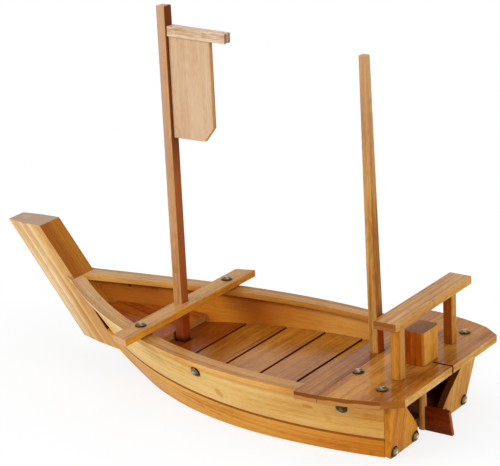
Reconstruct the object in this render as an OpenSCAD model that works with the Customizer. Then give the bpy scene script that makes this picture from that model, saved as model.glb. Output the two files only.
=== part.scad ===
// Serving boat of lacquered bamboo boards, in millimetres, standing on z = 0
// The bow points to -X, the stern to +X and the port side to -Y

/* [Overall] */
// Length from the stem tip to the aft edge of the deck
length = 496; // [470:1:540]
// Height of the rail tops at the stern
hull_h = 60; // [56:0.5:68]
// Extra height of the rail tops at the stem
sheer_rise = 25.5; // [16:0.5:30]
// Part of that height that rises evenly along the boat
sheer_even = 13; // [6:0.5:16]

/* [Stem] */
// Height of the stem top
stem_h = 135; // [124:0.5:150]
// Rake of the stem from upright, in degrees
stem_rake = 38.5; // [34:0.5:41]
// Fore and aft depth of the stem, measured level
stem_depth = 43.5; // [36:0.5:50]
// Width of the stem at its front face
stem_front_w = 23; // [16:0.5:26]
// Width of the stem at its side ridge
stem_ridge_w = 29.5; // [26:0.5:32]
// Width of the stem at its back face
stem_back_w = 31; // [28:0.5:34]
// Level distance from the stem front to the side ridge
stem_ridge_x = 20; // [14:0.5:26]
// Height of the heel at the back of the stem
heel_z = 20; // [16:0.5:26]
// Slope of the heel, in degrees
heel_slope = 6.5; // [0:0.5:10]

/* [Hull sides] */
// Thickness of the side boards
plank_t = 7; // [5:0.5:9]
// Place of the widest section, aft of the middle
beam_x = 90; // [70:1:110]
// Half breadth at the rails, at the stem
sheer_fore_y = 19; // [17:0.5:21]
// Half breadth at the rails, at the widest section
sheer_max_y = 97.5; // [92:0.5:102]
// Half breadth at the rails, at the transom
sheer_aft_y = 81; // [78:0.5:91]
// Half breadth at the bottom, at the stem
bottom_fore_y = 7; // [6:0.5:8]
// Half breadth at the bottom, at the widest section
bottom_max_y = 77.5; // [72:0.5:82]
// Half breadth at the bottom, at the transom
bottom_aft_y = 67.5; // [60:0.5:70]
// Length over which the bottom rises to the heel of the stem
foot_l = 22; // [16:0.5:30]
// Extra half breadth of the bottom at the stem
foot_y = 8; // [7:0.5:9]
// Height of the lower side boards at the transom
lower_aft_z = 20; // [17:0.5:24]
// Extra height of the lower side boards at the stem
lower_rise = 19; // [10:0.5:24]
// Width of the groove between the side boards
groove_w = 1.6; // [0.8:0.2:2.4]

/* [Rails] */
// Thickness of the rails
rail_t = 5.3; // [4:0.1:7]
// Width of the rails
rail_w = 16.5; // [14:0.5:18]
// Length of the rails beside the stem
rail_wedge_l = 8; // [5:0.5:10]
// Overhang of the rails outside the side boards
rail_over = 1; // [0.4:0.1:2]

/* [Bottom and floor] */
// Thickness of the bottom board
bottom_t = 9; // [7:0.5:11]
// Height of the floor
floor_z = 38; // [34:0.5:41]
// Thickness of the floor slats
slat_t = 6; // [4:0.5:8]
// Width of the floor slats
slat_w = 39.3; // [36:0.1:41]
// Gap between the floor slats
slat_gap = 1.5; // [1:0.1:2.5]
// Distance from the mast to the first gap in the floor
slat_from_mast = 30; // [24:0.5:36]
// Gap round the mast in the first slat
slat_hole_gap = 1.6; // [0.8:0.1:2.4]
// Length of the first slat that lies under the fore platform
slat_lap = 10; // [6:0.5:14]
// Thickness of the floor bearers
bearer_w = 8; // [6:0.5:10]
// Distance of the floor bearers from the middle
bearer_y = 20; // [18:0.5:21]
// Thickness of the fore platform
platform_t = 7.2; // [5:0.1:9]
// Slope of the fore platform, up towards the stem, in degrees
platform_slope = 9.2; // [6:0.2:12]
// Distance from the mast to the fore platform
platform_gap = 8.5; // [8:0.5:12]
// Distance from the fore platform's end to the stem
platform_end = 3; // [2:0.5:10]
// Section of the bearer under the fore platform
fore_bearer_s = 8; // [6:0.5:10]
// Distance from the platform's fore end to its bearer
fore_bearer_in = 19.6; // [14:0.2:26]
// Thickness of the bulkhead under the deck
bulkhead_t = 6; // [5:0.5:7]

/* [Thwart and mast] */
// Place of the thwart, forward of the middle
thwart_x = 41.8; // [36:0.2:46]
// Width of the thwart
thwart_w = 19.5; // [18:0.5:24]
// Thickness of the thwart
thwart_t = 7; // [5:0.5:9]
// Overhang of the thwart outside the rails
thwart_over = 24.5; // [16:0.5:30]
// Side of the square mast
mast_w = 10.4; // [8:0.2:11]
// Height of the mast top
mast_top = 366; // [340:1:380]
// Easing of the mast's corners
mast_ease = 1; // [0.5:0.1:1.5]
// Side of the square mast step
step_w = 22; // [20:0.5:24]
// Height of the mast step
step_h = 14; // [11:0.5:16]
// Depth of the socket in the mast step
step_depth = 10; // [7:0.5:10]

/* [Yard and flag] */
// Side of the square yard
yard_w = 9.4; // [7:0.2:10]
// Length of the yard aft of the mast
yard_len = 64; // [54:0.5:74]
// Height of the yard's middle at the mast
yard_z = 343; // [325:0.5:350]
// Droop of the yard's free end, in degrees
yard_droop = 1.8; // [0:0.2:3]
// Diameter of the yard's tenon
tenon_d = 5; // [4:0.1:5.6]
// Length of the yard's tenon
tenon_l = 7; // [5:0.1:7.5]
// Width of the flag board
flag_w = 45.5; // [38:0.5:52]
// Height of the flag board
flag_h = 96.5; // [80:0.5:110]
// Thickness of the flag board
flag_t = 5; // [3:0.5:6]
// Cut off the flag's lower corner, along the boat
flag_cut_x = 10.5; // [6:0.5:16]
// Cut off the flag's lower corner, upright
flag_cut_z = 13.5; // [8:0.5:20]

/* [Deck] */
// Length of the deck
deck_len = 94.5; // [90:0.5:100]
// Width of the front deck board
deck_front_w = 23; // [21:0.5:25]
// Thickness of the deck boards
deck_t = 7.5; // [6:0.5:9]
// Half breadth of the deck at its front
deck_half_w = 112; // [106:0.5:116]
// Half breadth of the deck where its corners are cut
deck_corner_y = 96.5; // [92:0.5:100]
// Length of the cut corners
deck_corner_l = 16.5; // [10:0.5:20]
// Half breadth of the deck's aft edge
deck_aft_y = 84; // [78:0.5:88]
// Width of the saw cut in the deck's aft edge
kerf_w = 2; // [1.5:0.1:3]
// Thickness of the beam under the deck
deck_beam_t = 16; // [14:0.5:20]
// Wood of the deck beam in front of the rear mast
deck_beam_wall = 3; // [2:0.1:4]
// Width of the deck beam behind the deck joint
deck_beam_aft = 10; // [8:0.5:14]

/* [Transom] */
// Overhang of the deck behind the foot of the transom
stern_over = 25; // [23.5:0.1:30]
// Thickness of the transom boards
transom_t = 6.5; // [5:0.5:8]
// Rake of the transom from upright, in degrees
transom_rake = 8; // [3:0.2:10]
// Half width of the rudder gap at the foot
gap_low_y = 21.5; // [17:0.5:22]
// Half width of the rudder gap at the deck
gap_high_y = 56; // [48:0.5:60]
// Height at which the rudder gap starts to widen
gap_z = 6; // [3:0.5:12]

/* [Gallows] */
// Distance from the deck's aft edge to the gallows
gallows_in = 28.2; // [26:0.2:31]
// Side of the square gallows posts
post_w = 9; // [7.5:0.1:10]
// Easing of the posts' corners
post_ease = 1; // [0.5:0.1:1.5]
// Distance of the gallows posts from the middle
post_y = 47; // [42:0.5:54]
// Height of the gallows above the deck
gallows_h = 59.4; // [52:0.2:68]
// Width of the gallows beam
beam_w = 22.3; // [18:0.1:26]
// Thickness of the gallows beam
beam_t = 7.8; // [6:0.2:10]
// Half length of the gallows beam
beam_half = 68.3; // [62:0.1:76]

/* [Rear mast] */
// Side of the rear mast at the deck
rear_w = 10.2; // [8.5:0.1:10.6]
// Side of the rear mast at its top
rear_top_w = 7.4; // [5:0.1:8]
// Length of the rear mast above the deck
rear_len = 272; // [250:1:300]
// Lean of the rear mast towards the bow, in degrees
rear_rake = 1.1; // [0:0.1:2]
// Depth of the rear mast's socket in the deck beam
rear_depth = 12; // [9:0.5:13]

/* [Rudder] */
// Distance from the deck's aft edge to the rudder stock
rudder_in = 31.2; // [29:0.1:34]
// Length of the rudder head
head_l = 20.3; // [16:0.1:24]
// Width of the rudder head
head_w = 28.6; // [22:0.2:34]
// Height of the rudder head
head_h = 31.3; // [24:0.1:38]
// Easing of the rudder head's upright corners
head_ease = 2.5; // [1:0.1:4]
// Diameter of the rudder stock
stock_d = 7.4; // [6:0.1:8]
// Gap between the stock and the notch in the bottom board
notch_gap = 2.5; // [1.5:0.5:8]
// Length of the stock inside the rudder head
stock_in = 16; // [10:0.5:20]
// Height of the rudder's foot
rudder_foot = 0.8; // [0.6:0.1:2]
// Height of the blade's top edge
blade_top = 23.5; // [20:0.5:30]
// Thickness of the blade
blade_t = 4; // [3:0.2:5]
// Length of the blade at its top, from the stock's middle
blade_top_l = 27.6; // [22:0.2:32]
// Length of the blade at its foot, from the stock's middle
blade_foot_l = 31; // [24:0.2:36]

/* [Tacks] */
// Diameter of the tack heads
tack_d = 11; // [9:0.1:11.5]
// Height of the tack heads
tack_h = 3.2; // [2:0.1:4]
// Diameter of the tack pins
pin_d = 2; // [1.6:0.1:2.4]
// Length of the tack pins
pin_l = 8.6; // [8:0.1:9]
// Length of the pins of the side tacks
side_pin_l = 5.6; // [3:0.1:6]
// Distance from the thwart to the side tacks
side_tack_x = 75; // [60:1:90]
// Distance from the deck's front edge to the aft side tacks
aft_tack_x = 32; // [24:0.5:40]
// Distance of the side tacks below the rails
side_tack_drop = 6.5; // [6:0.1:9]
// Distance from the deck joint to the inner deck tacks
deck_tack_x = 5.3; // [5:0.1:6]
// Distance of the inner deck tacks from the middle
deck_tack_y = 50.7; // [46:0.1:56]
// Distance from the deck's aft edge to the outer deck tacks
deck_tack_in = 28; // [27:0.1:32]
// Distance from the rudder gap to the transom's inner tacks
transom_tack_in = 5.5; // [5.5:0.1:10]
// Distance from the transom's foot corners to its outer tacks
transom_tack_out = 4; // [3.8:0.1:6]
// Height of the transom tacks
transom_tack_z = 6; // [5.9:0.1:6.5]

/* [Fits] */
// Gap between boards that are glued or nailed
glue_fit = 0.1; // [0.05:0.01:0.15]
// Gap between a floor board and the hull sides
side_fit = 0.35; // [0.3:0.01:0.45]
// Gap round a piece that lifts out
lift_fit = 0.3; // [0.2:0.05:0.4]
// Radial gap of the rudder stock in the deck
run_fit = 0.06; // [0.03:0.01:0.1]

/* [Hidden] */
$fn = 48;
stations = 32;
foot_stations = 4;

// Places along the boat
reach = length;
x_tip = -length / 2;
x_aft = length / 2;
x_deck = x_aft - deck_len;
x_joint = x_deck + deck_front_w;
x_thwart = -thwart_x;
x_thwart_fore = x_thwart - thwart_w / 2;
x_mast = x_thwart_fore + mast_w / 2;
x_platform = x_mast - platform_gap;
x_gallows = x_aft - gallows_in;
x_rudder = x_aft - rudder_in;
x_bulkhead = x_deck + glue_fit;
x_rear = x_joint - 2 * lift_fit - rear_w / 2;
deck_low = hull_h + glue_fit;
deck_top = deck_low + deck_t;

// Level position of the plank ends at the stem and at the transom
function fore_x(z) = x_tip + stem_depth + (stem_h - z) * tan(stem_rake) + glue_fit;
function aft_x(z) = x_aft - stern_over - transom_t / cos(transom_rake)
  + z * tan(transom_rake) - glue_fit;

// The sides are straight rulings between a bottom arc and a sheer arc, u runs from stem to transom
sheer_x0 = fore_x(hull_h + sheer_rise);
sheer_x1 = aft_x(hull_h);
base_x0 = fore_x(0);
base_x1 = aft_x(0);
flat_u = (x_deck - sheer_x0) / (sheer_x1 - sheer_x0);
beam_u = (beam_x - sheer_x0) / (sheer_x1 - sheer_x0);
function sheer_u(x) = (x - sheer_x0) / (sheer_x1 - sheer_x0);
function sheer_x(u) = sheer_x0 + (sheer_x1 - sheer_x0) * u;
function base_x(u) = base_x0 + (base_x1 - base_x0) * u;
function sheer_z(u) =
  let (w = max(0, 1 - u / flat_u)) hull_h + sheer_even * w + (sheer_rise - sheer_even) * pow(w, 4);
// Share of the foot's rise at ruling u, from one at the stem to nothing where the bottom is flat
function foot(u) = pow(max(0, 1 - u * (base_x1 - base_x0) / foot_l), 2);
function base_z(u) = heel_z * foot(u);

// Half breadth and slope of an arc that is widest at xm and ends at xe
function arc_r(l, d) = (l * l + d * d) / (2 * d);
function arc_y(x, xm, ym, xe, ye) =
  let (r = arc_r(xe - xm, ym - ye)) ym - r + sqrt(r * r - pow(x - xm, 2));
function arc_k(x, xm, ym, xe, ye) =
  let (r = arc_r(xe - xm, ym - ye)) r / sqrt(r * r - pow(x - xm, 2));
function sheer_end(u) = u < beam_u ? [sheer_x0, sheer_fore_y] : [sheer_x1, sheer_aft_y];
function base_end(u) = u < beam_u ? [base_x0, bottom_fore_y] : [base_x1, bottom_aft_y];
function sheer_y(u) =
  let (e = sheer_end(u)) arc_y(sheer_x(u), beam_x, sheer_max_y, e[0], e[1]);
function sheer_k(u) =
  let (e = sheer_end(u)) arc_k(sheer_x(u), beam_x, sheer_max_y, e[0], e[1]);
function base_y(u) = let (e = base_end(u))
  arc_y(base_x(u), base_x(beam_u), bottom_max_y, e[0], e[1]) + foot_y * foot(u);
function base_k(u) =
  let (e = base_end(u)) arc_k(base_x(u), base_x(beam_u), bottom_max_y, e[0], e[1]);
function mix(a, b, t) = a + (b - a) * t;
// Rulings at which the curved boards are cut, closer together in the foot
foot_u = foot_l / (base_x1 - base_x0);
rulings = concat([for (i = [0 : foot_stations - 1]) foot_u * i / foot_stations],
  [for (i = [0 : stations]) mix(foot_u, 1, i / stations)]);

// Point of the side at ruling u and height z, at depth d behind the outer face
function side_point(u, z, d) =
  let (t = z / sheer_z(u))
  [
    mix(base_x(u), sheer_x(u), t),
    max(glue_fit, mix(base_y(u) - d * base_k(u), sheer_y(u) - d * sheer_k(u), t)),
    z
  ];
// Ruling that passes the level position x at height z, found by repeated correction
function side_u(x, z, n = 6, u = 0.5) =
  n == 0 ? u :
  let (t = z / sheer_z(u), x0 = mix(base_x0, sheer_x0, t), x1 = mix(base_x1, sheer_x1, t))
  side_u(x, z, n - 1, (x - x0) / (x1 - x0));
function inner_y(x, z, gap) = side_point(side_u(x, z), z, plank_t)[1] - gap;
function lower_z(u) = lower_aft_z + lower_rise * pow(1 - u, 2);
function rail_low(u) = sheer_z(u) - rail_t;
function rail_out_y(u) = sheer_y(u) + rail_over;
function rail_in_y(u) = max(glue_fit, rail_out_y(u) - rail_w * sheer_k(u));
function rail_mid_y(x) = let (u = sheer_u(x)) (rail_out_y(u) + rail_in_y(u)) / 2;
function deck_y(x) = arc_y(x, x_deck, deck_half_w, x_aft - deck_corner_l, deck_corner_y);

// Solid through a row of rings that turn from +Y to +Z and follow each other along +X
module loft(rings) {
  n = len(rings[0]);
  m = len(rings);
  points = [for (r = rings) for (p = r) p];
  sides = [for (i = [0 : m - 2]) for (j = [0 : n - 1])
    let (a = i * n + j, b = i * n + (j + 1) % n)
    each [[a, a + n, b + n], [a, b + n, b]]];
  first = [for (j = [0 : n - 1]) j];
  last = [for (j = [n - 1 : -1 : 0]) (m - 1) * n + j];
  polyhedron(points, concat([first], sides, [last]), convexity = 6);
}

// Board across the boat between two heights, with ends that follow the hull sides;
// the heights are those of its aft edge, and the board rises from there to the bow
module cross_board(xa, xb, za, zb, steps, rise = 0) {
  loft([for (i = [0 : steps])
    let (x = mix(xa, xb, i / steps), up = rise * (xb - x), ya = inner_y(x, za + up, side_fit),
      yb = inner_y(x, zb + up, side_fit))
    [[x, ya, za + up], [x, yb, zb + up], [x, -yb, zb + up], [x, -ya, za + up]]]);
}

// Outline of half sides a and b with its corners cut by c
function eased(a, b, c) = [
  [a - c, -b], [a, c - b], [a, b - c], [a - c, b], [c - a, b], [-a, b - c], [-a, c - b], [c - a, -b]
];

module port() { mirror([0, 1, 0]) children(); }

module lower_strake() {
  g = groove_w / 2;
  difference() {
    loft([for (u = rulings)
      let (za = base_z(u), zb = lower_z(u))
      [
        side_point(u, za, 0), side_point(u, zb - g, 0), side_point(u, zb, g),
        side_point(u, zb, plank_t), side_point(u, za, plank_t)
      ]]);
    at_transom_tack(transom_tack_out_y) tack_bore(pin_l);
  }
}

module upper_strake() {
  g = groove_w / 2;
  difference() {
    loft([for (u = rulings)
      let (z = lower_z(u) + glue_fit, top = rail_low(u) - glue_fit)
      [
        side_point(u, z, g), side_point(u, z + g, 0), side_point(u, top, 0),
        side_point(u, top, plank_t), side_point(u, z, plank_t)
      ]]);
    at_side_tacks() tack_bore(side_pin_l);
  }
}

// The fore end of the rail runs on beside the stem as a wedge
module rail() {
  stem_y = stem_back_w / 2 + glue_fit;
  lip = glue_fit / 2;
  wedge_u = -sheer_u(sheer_x0 + rail_wedge_l);
  fore = [
    rail_ring(wedge_u, stem_y, max(stem_y + rail_over, rail_out_y(wedge_u))),
    rail_ring(-sheer_u(sheer_x0 + lip), stem_y, rail_out_y(0))
  ];
  difference() {
    loft(concat(fore, [for (u = rulings) rail_ring(u, rail_in_y(u), rail_out_y(u))]));
    at_thwart_tack() tack_bore(pin_l);
    at_outer_deck_tack() tack_bore(pin_l);
  }
}
function rail_ring(u, ya, yb) =
  let (za = rail_low(u), zb = sheer_z(u), xa = side_point(u, za, 0)[0], xb = sheer_x(u))
  [[xa, yb, za], [xb, yb, zb], [xb, ya, zb], [xa, ya, za]];

module stem_post() {
  color("peru")
  difference() {
    translate([x_tip, 0, stem_h]) rotate([0, -stem_rake, 0]) translate([0, 0, -reach / 2])
      linear_extrude(reach) polygon([
        [0, -stem_front_w / 2], [stem_ridge_x * cos(stem_rake), -stem_ridge_w / 2],
        [stem_depth * cos(stem_rake), -stem_back_w / 2], [stem_depth * cos(stem_rake), stem_back_w / 2],
        [stem_ridge_x * cos(stem_rake), stem_ridge_w / 2], [0, stem_front_w / 2]
      ]);
    translate([x_tip - reach, -reach / 2, stem_h]) cube([2 * reach, reach, reach]);
    translate([fore_x(heel_z), 0, heel_z]) rotate([0, heel_slope, 0])
      translate([-reach, -reach / 2, -reach]) cube([2 * reach, reach, reach]);
  }
}

module port_lower_strake() { color("goldenrod") port() lower_strake(); }
module starboard_lower_strake() { color("goldenrod") lower_strake(); }
module port_upper_strake() { color("khaki") port() upper_strake(); }
module starboard_upper_strake() { color("khaki") upper_strake(); }
module port_rail() { color("burlywood") port() rail(); }
module starboard_rail() { color("burlywood") rail(); }

// The bottom board bends up to the heel of the stem, and leaves room for the rudder
module bottom_board() {
  notch = x_rudder - stock_d / 2 - notch_gap;
  color("sienna")
  difference() {
    loft([for (u = rulings)
      let (a = bottom_edge(u, base_z(u)), b = bottom_edge(u, base_z(u) + bottom_t))
      [a, b, flip(b), flip(a)]]);
    translate([notch, -gap_low_y, -bottom_t]) cube([length, 2 * gap_low_y, 3 * bottom_t]);
    at_transom_tacks() tack_bore(pin_l);
    port() at_transom_tacks() tack_bore(pin_l);
  }
}
function bottom_edge(u, z) = side_point(u, z, plank_t) - [0, side_fit, 0];
function flip(p) = [p[0], -p[1], p[2]];

module floor_bearer() {
  xa = x_platform;
  za = bottom_t + glue_fit;
  translate([xa, bearer_y - bearer_w / 2, za])
    cube([x_bulkhead - glue_fit - xa, bearer_w, floor_z - slat_t - glue_fit - za]);
}
module port_floor_bearer() { color("sienna") port() floor_bearer(); }
module starboard_floor_bearer() { color("sienna") floor_bearer(); }

function slat_end(i) = x_mast + slat_from_mast + i * (slat_w + slat_gap);
module floor_slat(xa, xb) { cross_board(xa, xb, floor_z - slat_t, floor_z, 6); }
module floor_slat_1() {
  side = mast_w + 2 * slat_hole_gap;
  color("tan")
  difference() {
    floor_slat(x_platform - slat_lap, slat_end(0));
    translate([x_mast - side / 2, -side / 2, floor_z - 2 * slat_t]) cube([side, side, 3 * slat_t]);
  }
}
module floor_slat_2() { color("tan") floor_slat(slat_end(0) + slat_gap, slat_end(1)); }
module floor_slat_3() { color("tan") floor_slat(slat_end(1) + slat_gap, slat_end(2)); }
module floor_slat_4() { color("tan") floor_slat(slat_end(2) + slat_gap, slat_end(3)); }
module floor_slat_5() { color("tan") floor_slat(slat_end(3) + slat_gap, x_bulkhead - glue_fit); }

platform_low = floor_z + glue_fit;
platform_rise = tan(platform_slope);
// The platform's foot meets the stem's raked back at this share of its own rise
stem_share = platform_rise * tan(stem_rake);
x_platform_fore = (fore_x(platform_low) + platform_end - stem_share * x_platform) / (1 - stem_share);
module fore_bearer() {
  xa = x_platform_fore + fore_bearer_in;
  xb = xa + fore_bearer_s;
  top = floor_z + platform_rise * (x_platform - xb);
  color("sienna") cross_board(xa, xb, top - fore_bearer_s, top, 2, platform_rise);
}

module fore_platform() {
  color("tan")
  cross_board(x_platform_fore, x_platform, platform_low, platform_low + platform_t, 12, platform_rise);
}

// The bulkhead fills the hull under the deck, with notches for the rails
module aft_bulkhead() {
  za = bottom_t + glue_fit;
  zb = hull_h - rail_t - glue_fit;
  xb = x_bulkhead + bulkhead_t;
  ya = inner_y(xb, za, side_fit);
  yb = inner_y(xb, zb, side_fit);
  yc = rail_in_y(sheer_u(xb)) - side_fit;
  half = [[ya, za], [yb, zb], [yc, zb], [yc, hull_h]];
  color("sienna") translate([x_bulkhead, 0, 0]) rotate([90, 0, 90]) linear_extrude(bulkhead_t)
    polygon(concat(half, [for (i = [3 : -1 : 0]) [-half[i][0], half[i][1]]]));
}

thwart_low = sheer_z(sheer_u(x_thwart_fore)) + glue_fit;
thwart_top = thwart_low + thwart_t;
module thwart() {
  xa = x_thwart_fore;
  xb = xa + thwart_w;
  ya = rail_out_y(sheer_u(xa)) + thwart_over;
  yb = rail_out_y(sheer_u(xb)) + thwart_over;
  side = mast_w + 2 * lift_fit;
  color("burlywood")
  translate([0, 0, thwart_low])
  difference() {
    linear_extrude(thwart_t) polygon([[xa, -ya], [xb, -yb], [xb, yb], [xa, ya]]);
    translate([xa - side, -side / 2, -thwart_t]) cube([side + mast_w + lift_fit, side, 3 * thwart_t]);
    translate([0, 0, -thwart_low]) {
      at_thwart_tack() tack_bore(pin_l);
      port() at_thwart_tack() tack_bore(pin_l);
    }
  }
}

step_low = bottom_t + glue_fit;
mast_foot = step_low + step_h - step_depth + glue_fit;
module mast_step() {
  side = mast_w + 2 * lift_fit;
  color("sienna")
  difference() {
    translate([x_mast - step_w / 2, -step_w / 2, step_low]) cube([step_w, step_w, step_h]);
    translate([x_mast - side / 2, -side / 2, mast_foot - glue_fit]) cube([side, side, step_h]);
  }
}

module mast() {
  color("chocolate")
  difference() {
    translate([x_mast, 0, mast_foot]) linear_extrude(mast_top - mast_foot)
      polygon(eased(mast_w / 2, mast_w / 2, mast_ease));
    at_yard() translate([-tenon_l - glue_fit, 0, 0]) rotate([0, 90, 0])
      cylinder(d = tenon_d + 2 * run_fit, h = mast_w);
  }
}

// Frame of the yard, with its origin in the middle of its mast end and drooping aft
x_flag = x_mast + mast_w / 2 + glue_fit;
x_yard = x_flag + yard_w / 2 * sin(yard_droop);
module at_yard() { translate([x_yard, 0, yard_z]) rotate([0, yard_droop, 0]) children(); }
module yard() {
  color("chocolate") at_yard() {
    translate([0, -yard_w / 2, -yard_w / 2]) cube([yard_len, yard_w, yard_w]);
    translate([-tenon_l, 0, 0]) rotate([0, 90, 0]) cylinder(d = tenon_d, h = tenon_l + yard_w / 2);
  }
}

// The flag's top edge follows the yard, and its lower aft corner is cut off
module flag_board() {
  top = -yard_w / 2 / cos(yard_droop) - glue_fit;
  aft = top - flag_w * tan(yard_droop);
  low = top - flag_h;
  color("tan")
  translate([x_flag, flag_t / 2, yard_z]) rotate([90, 0, 0]) linear_extrude(flag_t) polygon([
    [0, top], [0, low], [flag_w - flag_cut_x, low], [flag_w, low + flag_cut_z], [flag_w, aft]
  ]);
}

// Frame of the rear mast, with its origin on the deck top and leaning to the bow
module at_rear() { translate([x_rear, 0, deck_top]) rotate([0, -rear_rake, 0]) children(); }
rear_foot = deck_t + glue_fit + rear_depth;
module rear_socket() {
  side = rear_w + 2 * lift_fit;
  at_rear() translate([-side / 2, -side / 2, -rear_foot]) cube([side, side, rear_foot + deck_t]);
}
module rear_taper() {
  linear_extrude(rear_w, center = true) polygon([
    [-rear_w / 2, glue_fit - rear_foot], [rear_w / 2, glue_fit - rear_foot], [rear_w / 2, 0],
    [rear_top_w / 2, rear_len], [-rear_top_w / 2, rear_len], [-rear_w / 2, 0]
  ]);
}
module rear_mast() {
  color("chocolate") at_rear() intersection() {
    rotate([90, 0, 0]) rear_taper();
    rotate([90, 0, 90]) rear_taper();
  }
}

module deck_beam() {
  xa = x_rear - rear_w / 2 - lift_fit - deck_beam_wall;
  xb = x_joint + deck_beam_aft;
  y = rail_in_y(sheer_u(xb)) - side_fit;
  color("sienna")
  difference() {
    translate([xa, -y, hull_h - deck_beam_t]) cube([xb - xa, 2 * y, deck_beam_t]);
    rear_socket();
    at_inner_deck_tack() tack_bore(pin_l);
    port() at_inner_deck_tack() tack_bore(pin_l);
  }
}

// The rear mast stands in a notch that the aft board closes
module deck_front_board() {
  xb = x_joint - glue_fit;
  side = rear_w + 2 * lift_fit;
  color("burlywood")
  difference() {
    translate([0, 0, deck_low]) linear_extrude(deck_t) polygon([
      [x_deck, -deck_y(x_deck)], [xb, -deck_y(xb)], [xb, deck_y(xb)], [x_deck, deck_y(x_deck)]
    ]);
    translate([x_rear - side / 2, -side / 2, deck_low - deck_t]) cube([2 * side, side, 3 * deck_t]);
  }
}

module deck_aft_board() {
  xc = x_aft - deck_corner_l;
  n = 12;
  side = [for (i = [0 : n]) let (x = mix(x_joint, xc, i / n)) [x, deck_y(x)]];
  half = concat(side, [[x_aft, deck_aft_y]]);
  kerf = x_rudder + head_l / 2;
  color("burlywood")
  difference() {
    translate([0, 0, deck_low]) linear_extrude(deck_t)
      polygon(concat(half, [for (i = [len(half) - 1 : -1 : 0]) [half[i][0], -half[i][1]]]));
    translate([kerf, -kerf_w / 2, deck_low - deck_t]) cube([x_aft, kerf_w, 3 * deck_t]);
    translate([x_rudder, 0, deck_low - deck_t]) cylinder(d = stock_d + 2 * run_fit, h = 3 * deck_t);
    at_inner_deck_tack() tack_bore(pin_l);
    port() at_inner_deck_tack() tack_bore(pin_l);
    at_outer_deck_tack() tack_bore(pin_l);
    port() at_outer_deck_tack() tack_bore(pin_l);
  }
}

// Frame of the transom, with its origin at the foot of the aft face
module at_transom() { translate([x_aft - stern_over, 0, 0]) rotate([0, transom_rake, 0]) children(); }
// The rudder gap widens along a curve that is upright at both ends
gap_steps = 16;
function gap_point(t, top) = [mix(gap_low_y, gap_high_y, t * t * (3 - 2 * t)), mix(gap_z, top, t)];
module transom() {
  top = hull_h / cos(transom_rake) - transom_t * tan(transom_rake);
  difference() {
    at_transom() translate([-transom_t, 0, 0]) rotate([90, 0, 90]) linear_extrude(transom_t)
      polygon(concat([[gap_low_y, 0], [bottom_aft_y, 0], [sheer_aft_y, top]],
        [for (i = [gap_steps : -1 : 0]) gap_point(i / gap_steps, top)]));
    at_transom_tacks() tack_bore(pin_l);
  }
}
module port_transom() { color("goldenrod") port() transom(); }
module starboard_transom() { color("goldenrod") transom(); }

beam_low = deck_top + gallows_h - beam_t;
module gallows_post() {
  za = deck_top + glue_fit;
  translate([x_gallows, post_y, za]) linear_extrude(beam_low - glue_fit - za)
    polygon(eased(post_w / 2, post_w / 2, post_ease));
}
module port_gallows_post() { color("goldenrod") port() gallows_post(); }
module starboard_gallows_post() { color("goldenrod") gallows_post(); }
module gallows_beam() {
  color("burlywood") translate([x_gallows - beam_w / 2, -beam_half, beam_low])
    cube([beam_w, 2 * beam_half, beam_t]);
}

head_low = deck_top + lift_fit;
module rudder_head() {
  color("peru")
  difference() {
    translate([x_rudder, 0, head_low]) linear_extrude(head_h)
      polygon(eased(head_l / 2, head_w / 2, head_ease));
    translate([x_rudder, 0, head_low - stock_in]) cylinder(d = stock_d + 2 * run_fit, h = 2 * stock_in);
  }
}
module rudder_stock() {
  color("chocolate") translate([x_rudder, 0, rudder_foot])
    cylinder(d = stock_d, h = head_low + stock_in - glue_fit - rudder_foot);
}
module rudder_blade() {
  color("saddlebrown")
  difference() {
    translate([x_rudder, blade_t / 2, 0]) rotate([90, 0, 0]) linear_extrude(blade_t) polygon([
      [0, rudder_foot], [blade_foot_l, rudder_foot], [blade_top_l, blade_top], [0, blade_top]
    ]);
    translate([x_rudder, 0, 0]) cylinder(d = stock_d + 2 * run_fit, h = 2 * blade_top);
  }
}

// Places of the tacks on the starboard side, each with its pin along -Z
module at_thwart_tack() { translate([x_thwart, rail_mid_y(x_thwart), thwart_top]) children(); }
module at_inner_deck_tack() { translate([x_joint + deck_tack_x, deck_tack_y, deck_top]) children(); }
module at_outer_deck_tack() {
  x = x_aft - deck_tack_in;
  translate([x, rail_mid_y(x), deck_top]) children();
}
transom_tack_out_y = bottom_aft_y - transom_tack_out;
module at_transom_tack(y) {
  at_transom() translate([0, y, transom_tack_z]) rotate([0, 90, 0]) children();
}
module at_transom_tacks() {
  at_transom_tack(gap_low_y + transom_tack_in) children();
  at_transom_tack(transom_tack_out_y) children();
}
// A side tack stands square to the upper board, along the cross product of its two edges there
module at_side_tack(x) {
  z = rail_low(sheer_u(x)) - side_tack_drop;
  u = side_u(x, z);
  e = 1 / stations;
  up = side_point(u, z + plank_t, 0) - side_point(u, z - plank_t, 0);
  aft = side_point(u + e, z, 0) - side_point(u - e, z, 0);
  n = cross(up, aft);
  translate(side_point(u, z, 0)) rotate([0, acos(n[2] / norm(n)), atan2(n[1], n[0])]) children();
}
module at_side_tacks() {
  at_side_tack(x_thwart + side_tack_x) children();
  at_side_tack(x_deck + aft_tack_x) children();
}
module tack_bore(l) { translate([0, 0, -l - glue_fit]) cylinder(d = pin_d + 2 * run_fit, h = l + tack_h); }
module tack(l) {
  r = arc_r(tack_d / 2, tack_h);
  translate([0, 0, glue_fit]) {
    difference() {
      translate([0, 0, tack_h - r]) sphere(r);
      translate([-2 * r, -2 * r, -4 * r]) cube(4 * r);
    }
    translate([0, 0, -l]) cylinder(d = pin_d, h = l + tack_h / 2);
  }
}
module side_of_tacks() {
  at_thwart_tack() tack(pin_l);
  at_inner_deck_tack() tack(pin_l);
  at_outer_deck_tack() tack(pin_l);
  at_transom_tacks() tack(pin_l);
  at_side_tacks() tack(side_pin_l);
}
module brass_tacks() {
  color("olive") {
    side_of_tacks();
    port() side_of_tacks();
  }
}

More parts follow.
